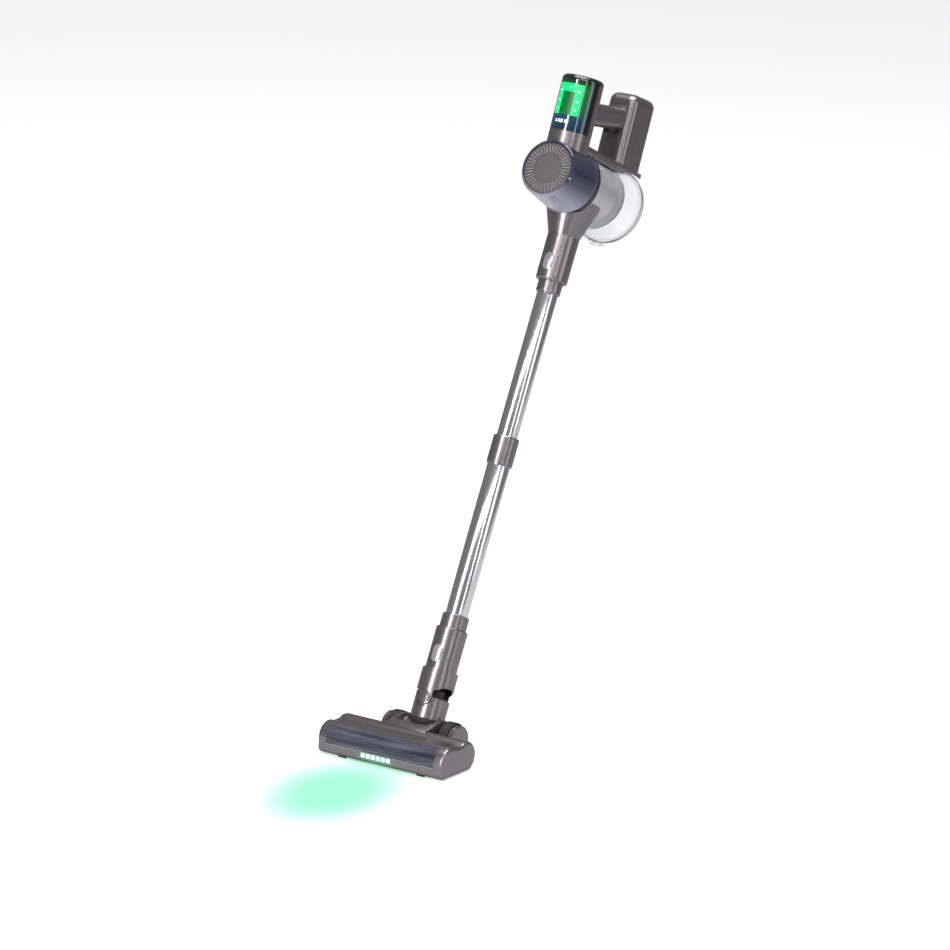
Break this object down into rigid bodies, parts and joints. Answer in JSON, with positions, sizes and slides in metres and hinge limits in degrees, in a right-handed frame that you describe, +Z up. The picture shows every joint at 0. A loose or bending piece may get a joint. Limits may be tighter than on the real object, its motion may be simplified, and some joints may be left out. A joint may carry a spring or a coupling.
{
  "type": "cordless stick vacuum",
  "caption": "Cordless stick vacuum with powered floor head, swivelling neck, telescopic wand, dust cup, display tower, loop handle and slide-out battery.",
  "frame": {"origin": "on the floor, in the middle of the felt strip under the floor head's sole", "axes": "+Z up, -Y the way the floor head faces and pushes, +X the right-hand side seen from the front, along the head's width"},
  "size_m": [0.224, 0.6496, 0.9648],
  "materials": {
    "shell_plastic": "satin metallic taupe moulded plastic",
    "dark_plastic": "dark grey moulded plastic",
    "tube_metal": "bright polished",
    "button_silver": "silver lacquered",
    "smoked_clear": "smoked clear polycarbonate",
    "clear": "clear polycarbonate",
    "display_black": "gloss black tinted lens",
    "display_light": "lit green panel",
    "led_green": "lit green light",
    "rubber": "matt",
    "pile": "soft roller pile",
    "steel": "brushed",
    "mesh_steel": "woven fine mesh",
    "flange_blue": "steel blue",
    "filter_media": "pleated filter media",
    "cell_wrap": "shrink wrap"
  },
  "bodies": {
    "head": {"head_shell": "shell_plastic", "roller_window": "smoked_clear", "window_trim": "tube_metal", "front_lip": "shell_plastic", "sole_plate": "dark_plastic", "head_screws": "steel", "sole_strip": "pile", "glider_feet": "rubber", "headlight_leds": "led_green", "head_duct": "dark_plastic", "left_end_cap": "shell_plastic", "right_end_cap": "shell_plastic", "drive_motor": "dark_plastic", "drive_belt": "rubber", "shoulder_cover": "shell_plastic", "pivot_axles": "steel"},
    "roller": {"roller_core": "tube_metal", "roller_pile": "pile", "roller_axle": "steel"},
    "motor_pulley": {"motor_pulley": "steel"},
    "wheel_left": {"wheel_left_hub": "shell_plastic", "wheel_left_tyre": "rubber"},
    "wheel_right": {"wheel_right_hub": "shell_plastic", "wheel_right_tyre": "rubber"},
    "lower_neck": {"lower_neck": "shell_plastic", "neck_gasket": "rubber", "neck_hose": "rubber"},
    "upper_neck": {"upper_socket": "shell_plastic", "swivel_pins": "shell_plastic", "wand_connector": "shell_plastic"},
    "lower_button": {"lower_release_button": "button_silver"},
    "wand": {"wand_foot": "shell_plastic", "outer_tube": "tube_metal", "telescope_collar": "shell_plastic"},
    "collar_latch": {"telescope_latch": "shell_plastic"},
    "inner_wand": {"inner_tube": "tube_metal", "wand_cuff": "shell_plastic"},
    "main_unit": {"inlet_neck": "shell_plastic", "front_shell": "smoked_clear", "ribbed_disc": "shell_plastic", "motor_housing": "dark_plastic", "suction_motor": "dark_plastic", "platform": "shell_plastic", "tower_shell": "shell_plastic", "display_lens": "display_black", "display_panel": "display_light", "handle_bar": "shell_plastic", "block_housing": "shell_plastic", "handle_panel": "dark_plastic"},
    "upper_button": {"upper_release_button": "button_silver"},
    "fan": {"fan_impeller": "dark_plastic"},
    "bowl": {"clear_bowl": "clear", "mesh_filter": "mesh_steel", "filter_core": "filter_media", "filter_flange": "flange_blue"},
    "lid": {"bowl_lid": "clear"},
    "battery": {"battery_case": "shell_plastic", "battery_cells": "cell_wrap"},
    "battery_button": {"battery_release": "shell_plastic"},
    "trigger": {"trigger": "dark_plastic"}
  },
  "joints": [
    {"name": "motor_spin", "type": "hinge", "parent": "head", "child": "motor_pulley", "pos_m": [0, 0.0168, 0.0233], "axis": [1, 0, 0], "continuous": true},
    {"name": "roller_spin", "type": "hinge", "parent": "head", "child": "roller", "pos_m": [0, -0.0247, 0.0212], "axis": [1, 0, 0], "continuous": true},
    {"name": "wheel_left_spin", "type": "hinge", "parent": "head", "child": "wheel_left", "pos_m": [-0.05, 0.0673, 0.0259], "axis": [1, 0, 0], "continuous": true},
    {"name": "wheel_right_spin", "type": "hinge", "parent": "head", "child": "wheel_right", "pos_m": [0.05, 0.0673, 0.0259], "axis": [1, 0, 0], "continuous": true},
    {"name": "neck_pitch", "type": "hinge", "parent": "head", "child": "lower_neck", "pos_m": [0, 0.0658, 0.03], "axis": [1, 0, 0], "range_deg": [-50, 20]},
    {"name": "neck_swivel", "type": "hinge", "parent": "lower_neck", "child": "upper_neck", "pos_m": [0, 0.08632, 0.07284], "axis": [0, 0.9018, -0.4321], "range_deg": [-20, 30]},
    {"name": "lower_button_press", "type": "slide", "parent": "upper_neck", "child": "lower_button", "axis": [0, 0.9018, -0.4321], "range_m": [0, 0.0015], "stiffness_N_per_m": 900, "springref_m": -0.001},
    {"name": "wand_release", "type": "slide", "parent": "upper_neck", "child": "wand", "axis": [0, 0.4321, 0.9018], "range_m": [0, 0.045]},
    {"name": "collar_latch_press", "type": "slide", "parent": "wand", "child": "collar_latch", "axis": [0, -0.9018, 0.4321], "range_m": [0, 0.0012], "stiffness_N_per_m": 900, "springref_m": -0.001},
    {"name": "telescope_slide", "type": "slide", "parent": "wand", "child": "inner_wand", "axis": [0, 0.4321, 0.9018], "range_m": [-0.19, 0]},
    {"name": "main_unit_release", "type": "slide", "parent": "inner_wand", "child": "main_unit", "axis": [0, 0.4321, 0.9018], "range_m": [0, 0.038]},
    {"name": "upper_button_press", "type": "slide", "parent": "main_unit", "child": "upper_button", "axis": [0, 0.9018, -0.4321], "range_m": [0, 0.0015], "stiffness_N_per_m": 900, "springref_m": -0.001},
    {"name": "fan_spin", "type": "hinge", "parent": "main_unit", "child": "fan", "pos_m": [0, 0.42983, 0.78979], "axis": [0, 0.8846, -0.4664], "continuous": true},
    {"name": "bowl_slide", "type": "slide", "parent": "main_unit", "child": "bowl", "axis": [0, 0.8846, -0.4664], "range_m": [0, 0.08]},
    {"name": "lid_hinge", "type": "hinge", "parent": "bowl", "child": "lid", "pos_m": [0, 0.48714, 0.69051], "axis": [-1, 0, 0], "range_deg": [0, 80]},
    {"name": "battery_slide", "type": "slide", "parent": "main_unit", "child": "battery", "axis": [0, 0.3795, 0.9252], "range_m": [0, 0.08]},
    {"name": "battery_button_press", "type": "slide", "parent": "battery", "child": "battery_button", "axis": [0, -0.9252, 0.3795], "range_m": [0, 0.0012], "stiffness_N_per_m": 900, "springref_m": -0.001},
    {"name": "trigger_pull", "type": "slide", "parent": "main_unit", "child": "trigger", "axis": [0, 0.2554, 0.9668], "range_m": [0, 0.004], "stiffness_N_per_m": 600, "springref_m": -0.001}
  ],
  "couplings": [
    {"joint": "roller_spin", "follows": "motor_spin", "ratio": 0.54546}
  ]
}
